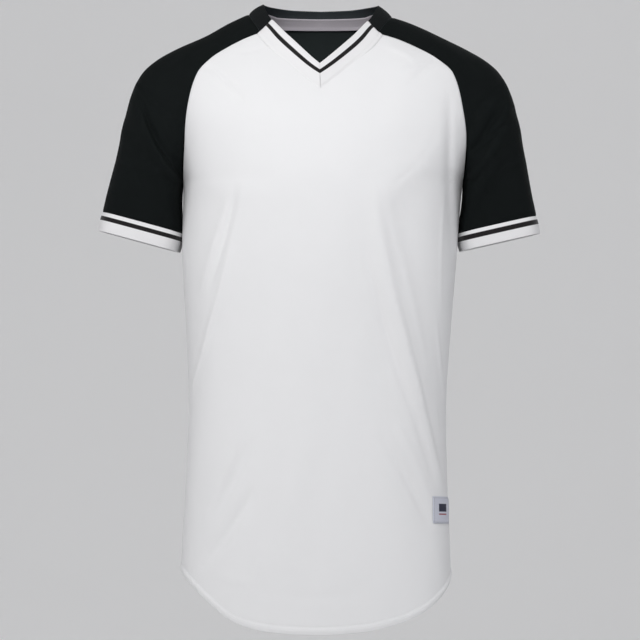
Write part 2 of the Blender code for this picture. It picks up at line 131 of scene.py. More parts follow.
def along(points, share):
    """Places at equal shares of a line's length."""
    gone = travelled(points)
    return points_at(share, gone / gone[-1], points)


def at_depths(grid, depths):
    """Rows of points at set distances down the columns of a grid."""
    gone = travelled(grid)
    columns = range(grid.shape[1])
    return np.stack([points_at(depths, gone[:, j], grid[:, j]) for j in columns], 1)


def closed_in(holds, low, high, rounds=30):
    """Halves the spans from low to high again and again, to where holds(value) ends."""
    for _ in range(rounds):
        middle = (low + high) / 2
        held = holds(middle)
        low, high = np.where(held, middle, low), np.where(held, high, middle)
    return low, high


def normals(grid):
    """The direction square to a grid whose rows go up and whose columns go to +X."""
    return unit(np.cross(np.gradient(grid, axis=1), np.gradient(grid, axis=0)))


# %% [markdown]
# ## The body's sections
# Front and back make one round body, so both are read from the same widths. Each section runs
# from the middle of a panel to the side as a Bezier arc, and full says how boxy it is. Above the
# underarm the panels end at their raglan seams, but the body under them goes on, so a sleeve and
# a panel meet with one tangent, as cloth does across a flat seam.

# %% Widths of the body
UNDERARM = -0.2152
BODY = table("""
    height half shift side_y
    -0.8 0.1742 -0.007 0
    -0.7 0.1722 -0.0064 0
    -0.6 0.1675 -0.0058 0
    -0.5 0.1645 -0.0045 0
    -0.4 0.1695 -0.0032 0.004
    -0.3 0.1762 -0.0018 0.009
    -0.2152 0.1792 0.0025 0.014
    -0.1948 0.186 0.0038 0.015
    -0.156 0.197 0.0057 0.016
    -0.1168 0.204 0.005 0.016
    -0.0763 0.2 0.0052 0.015
    -0.0555 0.183 0.0031 0.014
    -0.0339 0.15 0 0.012
    -0.0266 0.133 -0.0012 0.01
    -0.004 0.098 0 0.01
""")

# %% The front: its middle line and its raglan seams
FRONT = table("""
    height middle_x middle_y full
    -0.8 -0.007 -0.093 0.63
    -0.7 -0.0064 -0.096 0.63
    -0.6 -0.0058 -0.1 0.62
    -0.5 -0.0045 -0.105 0.61
    -0.4 -0.003 -0.113 0.6
    -0.3 -0.0012 -0.122 0.6
    -0.2152 0 -0.126 0.61
    -0.156 0 -0.119 0.63
    -0.1168 0 -0.107 0.66
    -0.0763 0 -0.087 0.69
    -0.05 0 -0.071 0.69
    -0.0266 0 -0.056 0.66
""")
FRONT["raglan"] = table("""
    height half
    -0.2152 0.1792
    -0.1948 0.1792
    -0.156 0.1784
    -0.1168 0.1733
    -0.0763 0.1615
    -0.0555 0.1404
    -0.0449 0.1225
    -0.0339 0.1
    -0.0266 0.0793
""")

# %% The back: its middle line and its raglan seams
BACK = table("""
    height middle_x middle_y full
    -0.81 -0.007 0.1 0.62
    -0.7 -0.0064 0.101 0.62
    -0.6 -0.0058 0.1 0.61
    -0.5 -0.0045 0.098 0.6
    -0.4 -0.003 0.101 0.6
    -0.3 -0.0012 0.111 0.6
    -0.2152 0 0.119 0.6
    -0.152 0 0.1195 0.62
    -0.105 0 0.114 0.65
    -0.065 0 0.105 0.67
    -0.03 0 0.094 0.67
    -0.004 0 0.0815 0.62
""")
BACK["raglan"] = table("""
    height half
    -0.2152 0.1792
    -0.194 0.1795
    -0.152 0.1765
    -0.105 0.164
    -0.065 0.139
    -0.03 0.103
    -0.004 0.065
""")

# %% Points of the round body
def body_point(panel, across, height):
    """Points of the body, where across runs from -1 to 1 between its right and left sides."""
    across, height = np.broadcast_arrays(across, height)
    middle_y, side_y = read(panel, "middle_y", height), read(BODY, "side_y", height)
    middle = np.stack([read(panel, "middle_x", height), middle_y, height], -1)
    half = np.where(across < 0, -1.0, 1.0) * read(BODY, "half", height)
    side = np.stack([read(BODY, "shift", height) + half, side_y, height], -1)
    corner = np.stack([side[..., 0], middle_y, height], -1)
    full = read(panel, "full", height)[..., None]
    near, far = middle + full * (corner - middle), side + full * (corner - side)
    return bezier(middle, near, far, side, np.abs(across))


def reach_of(panel, side, height):
    """How far round its panel reaches at a height: to the side, or to its raglan seam."""
    half = np.where(height < UNDERARM, 1.0, read(panel["raglan"], "half", height))

    def inside(across):
        x = body_point(panel, side * across, height)[..., 0]
        return np.abs(x - read(BODY, "shift", height)) < half

    return closed_in(inside, np.zeros_like(height), np.ones_like(height))[1]


for panel in (FRONT, BACK):
    panel["top"] = panel["raglan"]["height"][-1]
    panel["knots"] = np.linspace(-0.8, panel["top"], 600)
    panel["reach"] = {side: reach_of(panel, side, panel["knots"]) for side in (-1, 1)}
print("the front reaches its raglan seams at", FRONT["top"], "m, the back at", BACK["top"], "m")

# %% Points of a panel, and of its raglan seams
def reach(panel, side, height):
    return np.interp(height, panel["knots"], panel["reach"][side])


def panel_point(panel, across, height):
    """Points of a panel, where across runs from -1 to 1 between its two seams."""
    across, height = np.broadcast_arrays(across, height)
    sides = np.where(across < 0, reach(panel, -1, height), reach(panel, 1, height))
    return body_point(panel, across * sides, height)


def seam_height(panel, share):
    """Heights along a raglan seam, from the neck (0) to the underarm (1), by equal lengths."""
    heights = np.linspace(panel["top"], UNDERARM, 400)
    gone = travelled(body_point(panel, reach(panel, 1, heights), heights))
    return np.interp(share, gone / gone[-1], heights)


def raglan_seam(panel, side, share):
    height = seam_height(panel, share)
    return body_point(panel, side * reach(panel, side, height), height)


def raglan_runs_on(panel, side, share):
    """The way the body's surface goes on where it passes under its raglan seam."""
    height = seam_height(panel, share)
    end = np.minimum(reach(panel, side, height), 0.995)
    here, ahead = (body_point(panel, side * at, height) for at in (end, end + 0.005))
    return unit(ahead - here)


for name, panel in (("front", FRONT), ("back", BACK)):
    seam = raglan_seam(panel, 1, np.linspace(0, 1, 80))
    print(f"{name} raglan seam: {travelled(seam)[-1]:.3f} m")

# %% [markdown]
# ## Folds that hang from the shoulders
# Worn cloth drops in long soft folds from the points that carry it. Each fold is one row: how far
# it stands out (or in, below 0), how wide its two sides are, and three points of its line as seen
# from in front. A narrow and a wide side look like cloth, two even ones like a pipe. The solids
# have the large folds too, and only the cloth has the finer creases.

# %% Folds of the front
def fold_table(text):
    """Folds in millimetres: out, wide at its right and left, then three points x z."""
    rows = table("out right left x1 z1 x2 z2 x3 z3" + text)
    return {name: column / 1000 for name, column in rows.items()}


FRONT_FOLDS = fold_table("""
    2.2 20 18 152 -153.6 104.9 -213.2 63.3 -234.1
    1.8 16 16 -153.4 -208 -116.4 -225.2 -73.3 -229
    2.8 18 11 68.3 -234 90.9 -353.1 125.5 -485.9
    -2.4 12 26 93.4 -257.2 125.5 -372.9 146.7 -489.1
    1.6 12 10 96 -462.8 129.4 -551.4 145.3 -640.7
    -1.6 16 14 43.4 -313.6 65.8 -400.4 90.9 -512.5
    2.2 22 18 -85.9 -233.7 -113.9 -322.9 -145.3 -463.8
    -1.2 14 12 -92.2 -574.9 -117.7 -632.2 -145.3 -691.3
    1.2 20 20 -26 -511.9 -31 -611.1 -38.4 -722.7
""")
FRONT_CREASES = fold_table("""
    -3.6 4.2 5.2 -104.9 -223.2 -120.3 -282.7 -138.7 -347.7
    1.4 5 3.6 -116.4 -237.7 -134.7 -294.8 -150.7 -350
    1.3 2.6 2.4 -112.6 -297.9 -128.1 -357.8 -144 -418.3
    2 3.4 2.2 -132.1 -370.4 -148 -428.5 -171.3 -497.9
    1.6 10 4 68.3 -219.1 80.8 -308.4 107.4 -410.5
    2.5 10 3.4 84.6 -340.7 121.6 -468.2 161.6 -627.2
    1.6 5 9 77.1 -231.4 101.1 -310.6 136 -453.5
    -2.8 5.2 6 53.3 -301.2 84.6 -412.9 108.7 -488
    -2 5 5.6 103.6 -472.9 129.4 -546.4 142.7 -592.5
    -2.6 5 5 78.3 -539.7 112.6 -598.2 137.3 -645.1
    1.8 6 6 96 -522.6 116.4 -563.3 140 -620.1
    -2.6 7.5 4.6 163 -113 163 -209.8 168.5 -319.1
    0.9 2.4 3 154.8 -230.7 150.7 -299.4 152 -372.8
    1 2.5 2 146.7 -390.5 152 -438.7 158.8 -489.7
    -0.5 3.6 3.4 75.8 -226.4 115.2 -196.5 144 -155.6
    -3.4 6.6 7.5 -92.2 -545 -115.2 -593.3 -137.3 -635
    -3.4 6 6.8 -88.4 -602.1 -108.7 -640.5 -150.7 -697
    1.8 4 5 60.8 -35.6 88.4 -44.4 116.4 -59.9
    -2 3.4 3.4 157.5 -45.1 134.7 -68.2 111.3 -90.4
    -1.5 3.2 3.2 142.7 -52.2 124.2 -61.7 106.2 -70.7
    -2.4 3.8 3.4 -148 -64.2 -124.2 -84.3 -98.5 -112.4
    -1.4 3.2 3.2 -101.1 -51.1 -85.9 -49.5 -68.3 -44
    1 8 8 -73.3 -661.3 -80.8 -698.9 -90.9 -736.7
    0.6 4 6 -132.1 -707.5 -106.2 -715.3 -80.8 -716.3
    -0.4 6 6 -73.3 -728.4 -11.2 -733.7 55.8 -727.9
    1.4 7 7 137.3 -665.2 150.7 -699.5 158.8 -731.1
""")

# %% Folds of the back and of a sleeve
BACK_FOLDS = fold_table("""
    -6 18 18 -135 -170 -85 -260 -60 -380
    -6 18 18 138 -180 90 -270 70 -400
    6 20 20 -30 -300 -45 -450 -75 -640
    6 20 20 45 -330 40 -480 65 -660
    -5 18 18 105 -420 115 -530 125 -650
""")
BACK_CREASES = fold_table("""
    1.6 6 9 -120 -190 -92 -235 -72 -300
    1.6 9 6 124 -200 96 -246 80 -310
    -1.8 7 10 -60 -430 -80 -540 -104 -650
    -1.6 10 7 10 -430 8 -540 14 -640
    1.4 8 8 -110 -470 -124 -540 -136 -620
    1 10 10 -40 -90 0 -98 40 -92
""")
SLEEVE_FOLDS = fold_table("""
    -3 10 10 235 -100 210 -148 186 -192
    3.4 11 11 252 -140 228 -178 200 -228
""")
SLEEVE_CREASES = {
    "right": fold_table("""
        -5.2 3.6 3 -233 -98 -208.5 -156 -177.5 -202
        2.6 10 6 -224 -145 -203 -182 -185 -216
        1 7 7 -210 -130 -196 -153 -181 -178
        -1.4 6 6 -248 -170 -238 -198 -225 -226
        0.8 6 6 -150 -36 -176 -56 -196 -80
    """),
    "left": fold_table("""
        -5 4 3.2 235 -100 206 -153 187 -176
        -4 3.2 4 239 -137 214 -156 190 -177
        2.6 5 6 242 -116 218 -142 201 -162
        2.8 8 8 218 -186 208 -212 197 -242
        -2.4 5 5 206 -195 198 -212 189 -230
        -1.8 5 5 218 -96 206 -112 193 -130
        0.8 6 6 150 -36 176 -56 196 -80
    """),
}

# %% How far the cloth stands out at a point
def fold_field(x, z, folds):
    """The height of all folds of a table together, at points (x, z)."""
    field = np.zeros_like(x)
    place = np.stack([x, z], -1)
    f = np.linspace(0, 1, 41)[:, None]
    for out, right, left, x1, z1, x2, z2, x3, z3 in zip(*folds.values()):
        start, end = np.array([x1, z1]), np.array([x3, z3])
        pull = 2 * np.array([x2, z2]) - (start + end) / 2
        line = (1 - f) ** 2 * start + 2 * f * (1 - f) * pull + f**2 * end
        away = place[..., None, :] - line
        nearest = np.linalg.norm(away, axis=-1).argmin(-1)
        off = np.take_along_axis(away, nearest[..., None, None], -2)[..., 0, :]
        ahead = np.gradient(line, axis=0)[nearest]
        to_left = ahead[..., 0] * off[..., 1] - ahead[..., 1] * off[..., 0] > 0
        wide = np.where(to_left, left, right)
        fade = np.sin(np.pi * np.clip(f[nearest, 0] * 0.86 + 0.07, 0, 1)) ** 0.8
        field += out * fade * np.exp(-(np.sum(off**2, -1) / wide**2))
    return field


PANEL_FREE, NECK_FREE, CUFF_FREE = 3.27, 6.35, 2.65  # how soon folds set in past a seam
WAVES = table("""
    size across up
    0.00034 61 9
    0.00026 -46 17
    0.00020 97 -14
    0.00014 28 31
    0.00010 -135 22
""")


def softness(x, z, turn):
    """Broad shallow waves that run down the cloth, as it never hangs quite even."""
    waves = enumerate(zip(*WAVES.values()), 1)
    return sum(size * np.sin(across * x + up * z + turn * i) for i, (size, across, up) in waves)

# %% [markdown]
# ## How a cut edge is finished
# No edge on a real jersey is a bare cut. At a seam both pieces turn in over a narrow allowance,
# the hem is folded up once and stitched, and the cuffs and neck are rib folded double, with the
# fold as the free edge. Each sheet is a grid of points, small functions add the turned-in rows,
# and a Solidify modifier thickens the whole folded sheet at the end.

# %% Soften and draw in the edges at a seam
CLOTH = 0.0007
PLY = 0.0006
RIB = 0.0018
GAP = 0.0003
EDGES = {"low": (0, 1), "high": (0, -1), "start": (1, 1), "end": (1, -1)}


def from_edge(grid, edge):
    """The grid's lines counted from a named edge, and a way to put them back."""
    axis, step = EDGES[edge]
    return np.moveaxis(grid, axis, 0)[::step], lambda lines: np.moveaxis(lines[::step], 0, axis)


def rolled(grid, inward, edges, deep=0.0007, wide=0.0034):
    """Rounds the named edges inwards, so that a seam lies in a shallow valley."""
    for edge in edges.split():
        lines, put_back = from_edge(grid, edge)
        off = np.linalg.norm(lines - lines[0], axis=-1, keepdims=True)
        depth = deep * np.clip(1 - off / wide, 0, 1) ** 2
        grid = put_back(lines + from_edge(inward, edge)[0] * depth)
    return grid


def drawn_in(grid, edges, by=GAP / 2):
    """Draws the named edges back by half a seam gap, so that two pieces never touch."""
    for edge in edges.split():
        lines, put_back = from_edge(grid.copy(), edge)
        lines[0] = lines[0] + by * unit(lines[1] - lines[0])
        grid = put_back(lines)
    return grid

# %% Turn cloth in at an edge, as an allowance or a hem
HEM_DEEP = 0.0100
LAYERS = CLOTH + 0.0007  # from the face of a seam to the allowance behind it
BACK_ROWS = np.array([1, 0.7, 0.42, 0.2, 0.08])
TURN = np.radians([140, 90, 40])[:, None, None]


def turned_in(grid, inward, edge, deep, layer):
    """Adds a fold at an edge and the layer behind it, which reaches back over deep."""
    lines, put_back = from_edge(grid, edge)
    ways = from_edge(inward, edge)[0]
    inner = at_depths(lines[:16], deep * BACK_ROWS) + ways[0] * layer
    out = unit(lines[0] - lines[2])
    bend = lines[0] + ways[0] * layer / 2 * (1 - np.cos(TURN)) + out * layer / 2 * np.sin(TURN)
    added = np.concatenate([inner, bend])
    added_ways = np.broadcast_to(ways[0], added.shape)
    return put_back(np.concatenate([added, lines])), put_back(np.concatenate([added_ways, ways]))


def finished(grid, inward, seams, seam_deep=0.006):
    """Turns every named seam edge in, sides first."""
    for edge in seams.split():
        grid, inward = turned_in(grid, inward, edge, seam_deep, LAYERS)
    return grid, inward

# %% Fold a rib double
def doubled(face, outward, rise):
    """A rib strip folded at its last row: the face, the fold and the ply behind it."""
    radius = (RIB - PLY) / 2
    centre = face[-1] - outward[-1] * radius - rise[-1] * radius
    turn = np.linspace(0, np.pi, 9)[:, None, None]
    fold = centre + outward[-1] * radius * np.cos(turn) + rise[-1] * radius * np.sin(turn)
    short = face[:-1] - rise[-1] * radius * np.linspace(0, 1, len(face) - 1)[:, None, None] ** 4
    behind = (short - outward[:-1] * 2 * radius)[::-1]
    return np.concatenate([short, fold, behind])

# %% [markdown]
# ## From a grid to a cloth object
# One helper writes a grid as a mesh of quads and gives each point its place along the knit as two
# attributes, wale across and course up. The finishes read them, so the knit follows the cloth
# round every curve, where a texture projected from outside would smear.

# %% How the neck lies askew
ASKEW = table("""
    x y height reach aside rise
    -0.084 -0.05 -0.022 0.024 0.0034 0.0022
    0.084 -0.05 -0.022 0.026 -0.004 0.0026
    0.063 -0.041 -0.009 0.036 -0.0024 -0.002
    0 -0.0915 -0.066 0.036 -0.0016 -0.0026
    -0.09 0.008 0 0.022 -0.0012 0.0036
""")


def settled(points):
    """Slides every piece near the neck a few millimetres together, so the seams stay shut."""
    moved = points.copy()
    for x, y, height, reach, aside, rise in zip(*ASKEW.values()):
        near = np.exp(-(np.linalg.norm(points - (x, y, height), axis=-1) / reach) ** 2)
        moved[..., 0] += near * aside
        moved[..., 2] += near * rise
    return moved


# %% Make a piece of cloth
def sheet_mesh(name, grid, wale, course):
    grid = settled(grid)
    rows, columns = grid.shape[:2]
    index = np.arange(rows * columns).reshape(rows, columns)
    quads = np.stack([index[:-1, :-1], index[:-1, 1:], index[1:, 1:], index[1:, :-1]], -1)
    mesh = bpy.data.meshes.new(name)
    mesh.from_pydata(grid.reshape(-1, 3).tolist(), [], quads.reshape(-1, 4).tolist())
    for label, values in (("wale", wale), ("course", course)):
        layer = mesh.attributes.new(label, "FLOAT", "POINT")
        layer.data.foreach_set("value", np.broadcast_to(values, grid.shape[:2]).ravel())
    mesh.shade_smooth()
    return mesh


def placed(name, data):
    made = bpy.data.objects.new(name, data)
    bpy.context.scene.collection.objects.link(made)
    return made


def piece(name, mesh, finish, wall=0.0, facing=1, inside=None):
    """Shows a mesh as a piece of the jersey that rides on its one body."""
    if facing < 0:
        mesh.flip_normals()
    mesh.materials.append(finish)
    made = placed(name, mesh)
    if wall:
        solid = made.modifiers.new("wall", "SOLIDIFY")
        solid.thickness = wall
        solid.offset = -1
        if inside:
            mesh.materials.append(inside)
            solid.material_offset = 1
    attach(made, "root")
    return made


def knit_lines(grid):
    """Distances across and up a grid, which become its wales and courses."""
    middle = grid.shape[1] // 2
    gone = travelled(grid.swapaxes(0, 1)).T
    return gone - gone[:, [middle]], travelled(grid[:, middle])[:, None]

# %% [markdown]
# ## Sewing thread
# A coverstitch shows as two rows of short raised stitches. Each stitch is a small closed bead,
# pointed at both ends and sunk a little into the cloth. One template of points makes them all,
# as one mesh for each seam.

# %% Rows of stitches
THREAD, STITCH = 0.00022, 0.0028
BEAD = [(-0.42, 0.35), (-0.25, 1.0), (0.0, 1.12), (0.25, 1.0), (0.42, 0.35)]
SIDES = 6


def stitch_row(line, outward, base):
    """Beads along a line of points on cloth, and their faces, numbered from base on."""
    total = travelled(line)[-1]
    count = int(total / STITCH)
    middle = (np.arange(count) + 0.5) / count
    share = travelled(line) / total
    way = points_at(middle, share, outward)[:, None]
    centre = along(line, middle)[:, None]
    ahead = unit(along(line, middle + 0.002) - along(line, middle - 0.002))[:, None]
    side = unit(np.cross(ahead, way))
    turn = np.arange(SIDES)[:, None] * 2 * np.pi / SIDES
    round_it = side * np.cos(turn) + way * (np.sin(turn) * 0.8 + 0.25)
    points = np.stack([centre + ahead * x * STITCH + THREAD * r * round_it for x, r in BEAD], 1)
    first = base + np.arange(count)[:, None, None] * SIDES * len(BEAD)
    start = first + np.arange(len(BEAD) - 1)[:, None] * SIDES
    here = np.arange(SIDES)
    there = (here + 1) % SIDES
    quads = np.stack([start + here, start + there, start + there + SIDES, start + here + SIDES], -1)
    last = first[:, 0] + SIDES * (len(BEAD) - 1)
    ends = (first[:, 0] + here[::-1]).tolist() + (last + here).tolist()
    return points.reshape(-1, 3).tolist(), quads.reshape(-1, 4).tolist() + ends


def stitch_mesh(name, rows):
    """Several rows of stitches as one mesh."""
    points, faces = [], []
    for line, outward in rows:
        more_points, more_faces = stitch_row(line, outward, len(points))
        points, faces = points + more_points, faces + more_faces
    mesh = bpy.data.meshes.new(name)
    mesh.from_pydata(points, [], faces)
    mesh.shade_smooth()
    return mesh

# %% [markdown]
# ## The front and back panels
# A panel's grid starts at the curved shirt-tail hem, climbs to the underarm and then follows the
# raglan seams to the neck. Rows and columns lie close together at the edges, where the cloth
# turns, and 3 to 5 mm apart elsewhere. The folds are added square to the cloth and fade out
# before the seams, because a seam is stiffer than the cloth and stays on its line.

# %% The hem line and the V
HEM_CENTRE, HEM_RISE, BACK_TAIL = -0.7824, 0.0757, 0.004
HEM = table("""
    across rise
    -1 1
    -0.87 0.94
    -0.72 0.8
    -0.55 0.54
    -0.35 0.19
    -0.18 0.06
    0 0.022
    0.18 0.06
    0.37 0.18
    0.55 0.37
    0.72 0.59
    0.87 0.79
    1 0.92
""")
V_POINT, V_BOW = -0.0951, 0.0014


def v_half(height):
    """Half the width of the V opening at a height, at the seam of its trim."""
    rise = np.clip((height - V_POINT) / (FRONT["top"] - V_POINT), 0, 1)
    return FRONT["raglan"]["half"][-1] * rise + 4 * V_BOW * rise * (1 - rise)


def v_height(across):
    """How high each column of the front reaches, up to the seam of the V."""
    def outside(height):
        return np.abs(panel_point(FRONT, across, height)[..., 0]) > v_half(height)

    return closed_in(outside, V_POINT + 0 * across, FRONT["top"] + 0 * across)[0]

# %% The grid of a panel
def close_at_ends(count, near):
    """Shares from 0 to 1, spaced evenly but for extra ones near both ends."""
    near = np.array(near)
    middle = np.linspace(near[-1], 1 - near[-1], count)[1:-1]
    return np.concatenate([[0], near, middle, 1 - near[::-1], [1]])


ACROSS = 2 * close_at_ends(181, (0.002, 0.005, 0.009, 0.014)) - 1
SIDE_SEAM = 560  # millimetres, as are the heights of the rows above the hem
HEM_STEPS = np.array([0, 1, 2.5, 4.5, 6, 7.2, 8.5, 9.5, 10.6, 12.5, 15, 18, 21]) / SIDE_SEAM
LOWER = np.concatenate([HEM_STEPS, np.linspace(HEM_STEPS[-1], 1, 121)[1:]])[:, None]
UPPER = close_at_ends(76, (0.0006, 0.003, 0.008, 0.014))[::-1][1:, None]


def panel_grid(panel, top_of, tail):
    """The plain surface of a panel from its hem up, and how free each row is to fold."""
    hem = HEM_CENTRE - tail + (HEM_RISE + tail) * curve(HEM["across"], HEM["rise"], ACROSS)
    lower = hem + (UNDERARM - hem) * LOWER
    climb = (seam_height(panel, UPPER) - UNDERARM) / (panel["top"] - UNDERARM)
    upper = UNDERARM + (top_of(ACROSS) - UNDERARM) * climb
    free = np.concatenate([np.ones_like(LOWER), ease(PANEL_FREE * UPPER)])
    return panel_point(panel, ACROSS, np.concatenate([lower, upper])), free


def folded(grid, outward, free, over, folds, creases, turn):
    """Moves a grid out along its folds, which fade before the seams, and its finer creases."""
    x, z = grid[..., 0], grid[..., 2]
    wide = fold_field(x, z, folds) + softness(x, z, turn)
    wide = wide * ease(over * 9) * ease((1 - over) * 9)
    fine = fold_field(x, z, creases) * ease(over * 30) * ease((1 - over) * 30)
    return grid + outward * ((wide + fine) * free)[..., None]

# %% Cut both panels
THREAD_DENT = 0.0008
HEM_LAYER, HEM_SWELL, SWELL_AT, SWELL_WIDE = 0.00035, 0.0012, 0.0050, 0.0030


def stitched_in(grid, outward, rows, deep=0.00050):
    """Swells the double cloth of a hem, and presses it in along its stitch rows."""
    gone = travelled(grid)
    dent = sum(np.exp(-((gone - row) / THREAD_DENT) ** 2) for row in rows)
    layers = HEM_LAYER * np.clip(1 - (gone / HEM_DEEP) ** 6, 0, 1)
    swell = HEM_SWELL * np.exp(-((gone - SWELL_AT) / SWELL_WIDE) ** 2)
    return grid + outward * (layers + swell - deep * dent)[..., None]


HEM_ROWS = (0.0062, 0.0094)
over = (ACROSS + 1) / 2
front_plain, free = panel_grid(FRONT, v_height, 0.0)
front_out = normals(front_plain)
front_face = folded(front_plain, front_out, free, over, FRONT_FOLDS, FRONT_CREASES, 1.0)
back_plain, free = panel_grid(BACK, lambda across: BACK["top"] + 0 * across, BACK_TAIL)
back_out = -normals(back_plain)
back_face = folded(back_plain, back_out, free, over, BACK_FOLDS, BACK_CREASES, 2.2)


def panel_sheet(face, turned):
    """A finished panel: edges drawn in and rounded, the hem turned up, the seams turned in."""
    outward = normals(face) * turned
    face = stitched_in(drawn_in(face, "start end"), outward, HEM_ROWS)
    face = rolled(face, -outward, "start end")
    grid, inward = finished(face, -outward, "start end")
    return turned_in(grid, inward, "low", HEM_DEEP, CLOTH + 0.0002)[0], face, outward


front_sheet, front_face, front_out = panel_sheet(front_face, 1)
back_sheet, back_face, back_out = panel_sheet(back_face, -1)
print("front panel", front_sheet.shape, "back panel", back_sheet.shape)

# %% [markdown]
# ## The raglan sleeves
# A raglan sleeve starts as a narrow strip at the neck, widens over the shoulder and closes into a
# tube at the underarm. Each rib of the grid is two Bezier arcs, from the front seam up to the
# line over the shoulder and down to the back seam. High up they leave the seam in the body's own
# direction. Towards the underarm they turn away from it, which makes the crease that lies there.

# %% The line over the shoulder, and how deep the sleeve is
SHOULDER = table("""
    x y height
    0.0915 0.008 0
    0.1156 0.01 -0.0079
    0.1477 0.012 -0.0233
    0.181 0.014 -0.0387
    0.2094 0.016 -0.054
    0.2279 0.017 -0.0694
    0.238 0.018 -0.0848
    0.2444 0.018 -0.1002
    0.2503 0.02 -0.1233
    0.2555 0.0215 -0.1464
    0.264 0.0245 -0.185
""")
SLEEVES = {
    "right": dict(
        sign=-1, cuff=0.0245, outer=(0.2815, 0.030, -0.2486), inner=(0.1757, 0.033, -0.2773)),
    "left": dict(
        sign=1, cuff=0.0230, outer=(0.2775, 0.030, -0.2537), inner=(0.1738, 0.033, -0.2772)),
}
SLEEVE_DEPTH = table("""
    share front back
    0.6 -0.0562 0.0775
    0.8 -0.055 0.0845
    1 -0.05 0.0875
    1.5 -0.039 0.089
    2 -0.028 0.09
""")
ARMPIT_ROOM = 0.0022
CREASE_FROM, FILLED_FROM = 0.40, 0.55  # shares of the way from the neck to the underarm
FULLER, FLATTER = 0.3, 1.07  # how the section above a cuff is filled out, then pressed


def shoulder_line(sleeve, share):
    """The line over the shoulder, from the neck (0) past the underarm (1) to the cuff (2)."""
    rows = np.linspace(0, 1, len(SHOULDER["x"]))
    upper = read_points(SHOULDER, rows, np.linspace(0, 1, 200))
    low = np.clip(share - 1, 0, 1)[..., None]
    line = along(upper, np.clip(share, 0, 1)) + (np.array(sleeve["outer"]) - upper[-1]) * low
    return line * (sleeve["sign"], 1, 1)

# %% How a rib leaves its seam
def sleeve_edge(panel, sleeve, share, turn):
    """A sleeve's seam points, and the way each of its ribs leaves them."""
    sign, on_body = sleeve["sign"], np.clip(share, 0, 1)
    low = np.clip(share - 1, 0, 1)[..., None]
    seam = raglan_seam(panel, sign, on_body)
    clear = np.array([sign * ARMPIT_ROOM, 0, 0]) * np.sin(np.pi * low)
    point = seam + (np.array(sleeve["inner"]) * (sign, 1, 1) - seam) * low + clear
    body_way = raglan_runs_on(panel, sign, on_body)
    ahead = raglan_seam(panel, sign, np.clip(on_body + 0.01, 0, 1))
    behind = raglan_seam(panel, sign, np.clip(on_body - 0.01, 0, 1))
    outward = unit(np.cross(ahead - behind, body_way))
    to_top = shoulder_line(sleeve, share) - point
    smooth = unit(to_top - outward * np.sum(to_top * outward, -1, keepdims=True))
    crease = ease((share - CREASE_FROM) / (1 - CREASE_FROM))
    angle = np.arctan2(-turn * smooth[..., 1], sign * smooth[..., 0])
    angle = angle * (1 - crease) - np.pi / 2 * crease
    lift = smooth[..., 2] * (1 - crease)
    level = np.sqrt(1 - lift**2)
    way = np.stack([sign * np.cos(angle) * level, -turn * np.sin(angle) * level, lift], -1)
    apart = unit(way + body_way + np.array([0.4 * sign, 0, 0]))
    return point + GAP * 1.2 * apart * (1 - low), way


def sleeve_half(panel, sleeve, share, turn, around):
    """Half of a sleeve's ribs, from the seam on one side up to the shoulder line."""
    start, way = sleeve_edge(panel, sleeve, share, turn)
    top = shoulder_line(sleeve, share)

    def ribs(reach, at):
        ends = (start, start + way * reach[:, None], top + (0, turn, 0) * reach[:, None], top)
        return bezier(*[p[:, None, :] for p in ends], at[None, :])

    plain = np.linalg.norm(top - start, axis=-1) * 0.40
    depth = curve(SLEEVE_DEPTH["share"], SLEEVE_DEPTH["front" if turn < 0 else "back"], share)

    def short(pull):
        return (ribs(pull, np.linspace(0, 1, 21))[..., 1] * turn).max(axis=1) < depth * turn

    full = closed_in(short, plain * 0.5, plain * 0.5 + 0.14, 20)[0]
    filled = ease((share - FILLED_FROM) / 0.3)
    rounded = ribs(plain * (1 - filled) + full * filled * (1 + FULLER * filled), around)
    flat = ribs(full * 0, around)[..., 1]
    most = np.maximum((ribs(full, around)[..., 1] - flat) * turn, 0.001).max(axis=1)[:, None]
    ahead = (rounded[..., 1] - flat) * turn / most
    pressed = ahead / (1 + np.abs(ahead) ** 4) ** 0.25 * FLATTER
    rounded[..., 1] = flat + turn * most * (ahead + (pressed - ahead) * filled[:, None])
    return rounded

# %% Cut both sleeves
HALF_ROUND = np.concatenate([[0, 0.006, 0.015, 0.027], np.linspace(0.04, 1, 60)])
DOWN_SLEEVE = np.concatenate([
    [0, 0.004, 0.010, 0.018], np.linspace(0.03, 1, 100),
    np.linspace(1, 1.93, 24)[1:], [1.95, 1.97, 1.985, 2.0]])


def sleeve_rows(sleeve, share):
    """A sleeve's points: rows from the neck to the cuff, columns from front seam to back."""
    front = sleeve_half(FRONT, sleeve, share, -1, HALF_ROUND)
    back = sleeve_half(BACK, sleeve, share, 1, HALF_ROUND)
    return np.concatenate([front, back[:, -2::-1]], axis=1)


def sleeve_sheet(name, sleeve):
    """A finished sleeve, and its plain surface."""
    sign = sleeve["sign"]
    plain = sleeve_rows(sleeve, DOWN_SLEEVE)
    outward = normals(plain) * -sign
    over = np.linspace(0, 1, plain.shape[1])
    over = np.interp(over, over, np.concatenate([HALF_ROUND / 2, 1 - HALF_ROUND[-2::-1] / 2]))
    free = (ease(NECK_FREE * DOWN_SLEEVE) * ease(CUFF_FREE * (2 - DOWN_SLEEVE)))[:, None]
    folds = dict(SLEEVE_FOLDS, **{x: SLEEVE_FOLDS[x] * sign for x in ("x1", "x2", "x3")})
    face = folded(plain, outward, free, over, folds, SLEEVE_CREASES[name], 3.1 + sign)
    outward = normals(face) * -sign
    face = rolled(drawn_in(face, "low start end"), -outward, "low high start end")
    grid, inward = finished(face, -outward, "start end", 0.005)
    grid, inward = turned_in(grid, inward, "low", 0.0035, CLOTH + 0.0003)
    return turned_in(grid, inward, "high", 0.005, LAYERS)[0], plain


